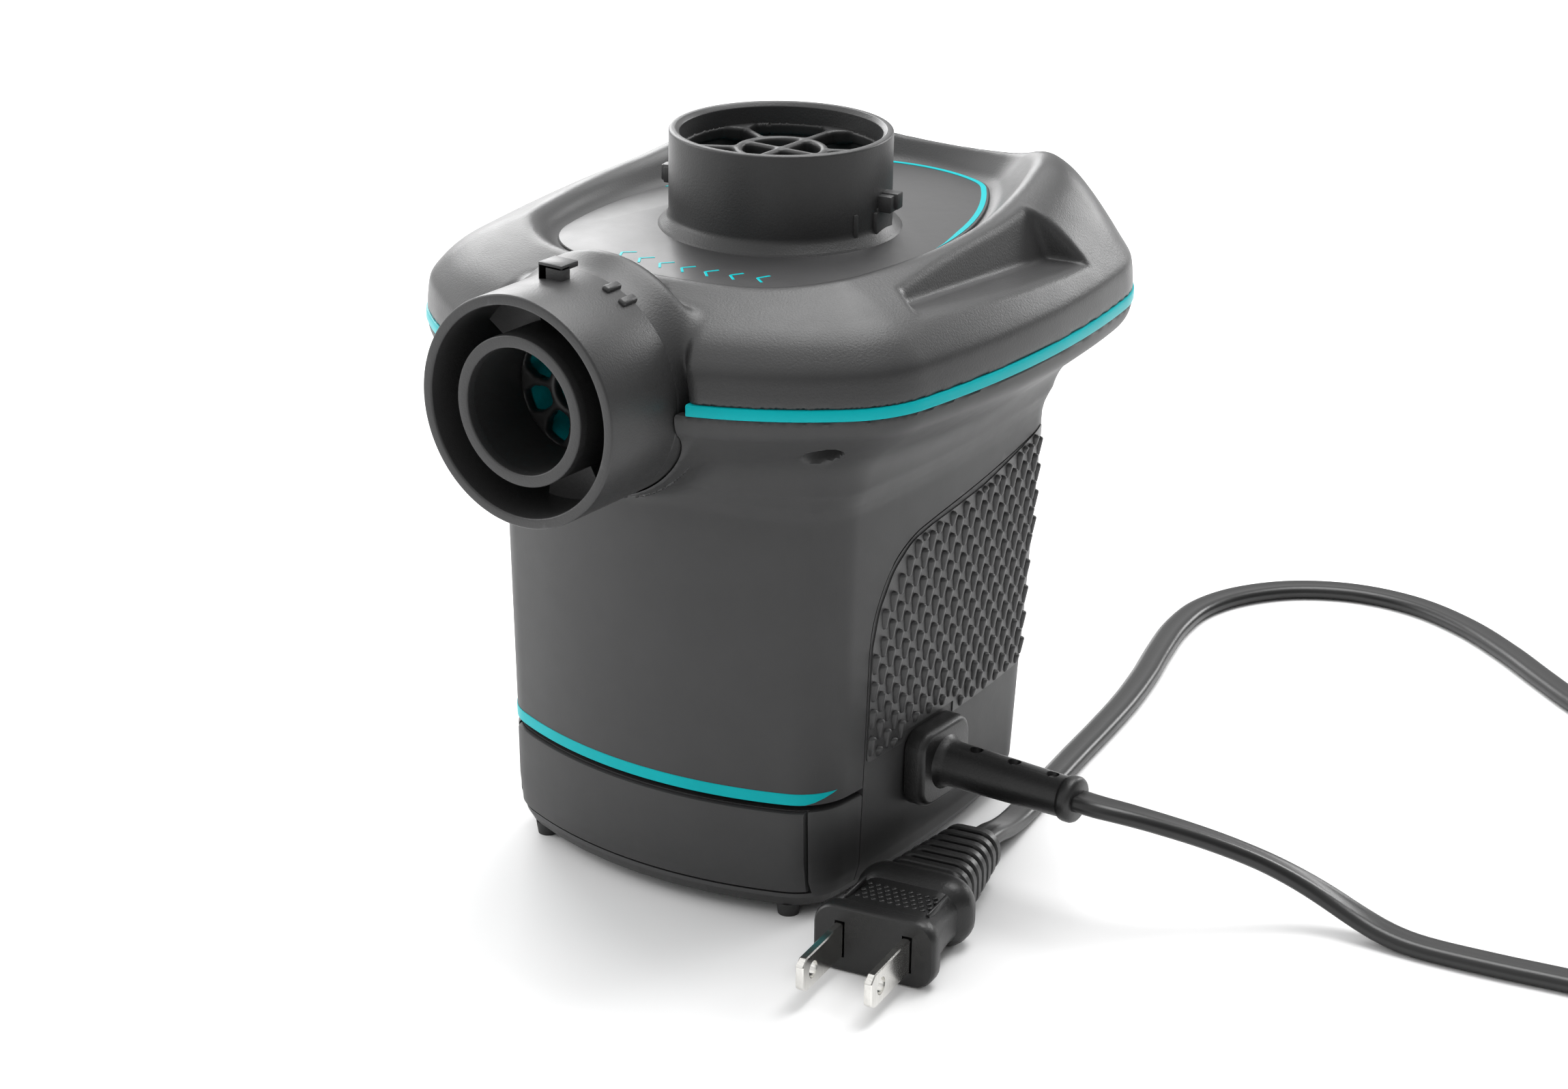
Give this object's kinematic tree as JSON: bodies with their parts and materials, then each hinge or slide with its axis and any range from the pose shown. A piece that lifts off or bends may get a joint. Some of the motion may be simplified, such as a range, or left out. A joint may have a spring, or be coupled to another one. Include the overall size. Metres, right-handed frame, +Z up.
{
  "type": "electric air mattress pump",
  "caption": "Corded hand-held blower with an intake port on top, an outlet port in front, a motor, an impeller, a rocker switch and a two-pin plug on its cord.",
  "frame": {"origin": "on the floor under the middle of the pump, its cord left out", "axes": "+Z up, the outlet port points along -Y, and the cord leaves the pump towards +X"},
  "size_m": [0.2635, 0.2415, 0.133],
  "materials": {
    "housing": "fine moulded texture",
    "accent": "gloss",
    "label": "satin film",
    "grip": "moulded ridges",
    "inner_plastic": "plain moulding",
    "impeller": "plain moulding",
    "steel": "turned and ground",
    "laminations": "stamped sheets",
    "copper": "enamelled wire",
    "bracket": "stamped",
    "bronze": "sintered",
    "brass": "stamped",
    "carbon": "pressed carbon",
    "cord": "smooth",
    "plug": "moulded",
    "nickel": "nickel plated",
    "feet": "matte",
    "switch": "satin"
  },
  "bodies": {
    "pump": {"lid_shell": "housing", "seam_band": "accent", "label_plate": "label", "label_trim": "accent", "intake_port": "housing", "outlet_port": "housing", "intake_grille": "inner_plastic", "body_shell": "housing", "accent_strip": "accent", "rear_shell": "housing", "base_front": "housing", "badge_panel": "housing", "bottom_plate": "inner_plastic", "feet": "feet", "grip_right": "grip", "grip_left": "grip", "housing_screws": "steel", "base_screws": "steel", "fan_case": "inner_plastic", "fan_case_cover": "inner_plastic", "outlet_grille": "inner_plastic", "stator_core": "laminations", "field_coils": "copper", "upper_bracket": "bracket", "lower_bracket": "bracket", "upper_bearing": "bronze", "lower_bearing": "bronze", "brush_holders": "brass", "brushes": "carbon", "brush_springs": "steel", "motor_screws": "steel", "switch_case": "switch", "rocker_pin": "steel", "switch_terminals": "brass", "inner_leads": "cord", "strain_relief": "plug", "cord_lead": "cord", "cord_coil": "cord", "cord_tail": "cord", "plug_body": "plug", "plug_blades": "nickel"},
    "rotor": {"motor_shaft": "steel", "armature_core": "laminations", "armature_windings": "copper", "commutator": "copper", "impeller": "impeller", "impeller_nut": "steel"},
    "rocker": {"switch_rocker": "switch"}
  },
  "joints": [
    {"name": "rotor_spin", "type": "hinge", "parent": "pump", "child": "rotor", "pos_m": [0, 0.006, 0.06], "axis": [0, 0, 1], "continuous": true},
    {"name": "rocker_tilt", "type": "hinge", "parent": "pump", "child": "rocker", "pos_m": [0, 0.05013, 0.06218], "axis": [1, 0, 0], "range_deg": [0, 16]}
  ]
}
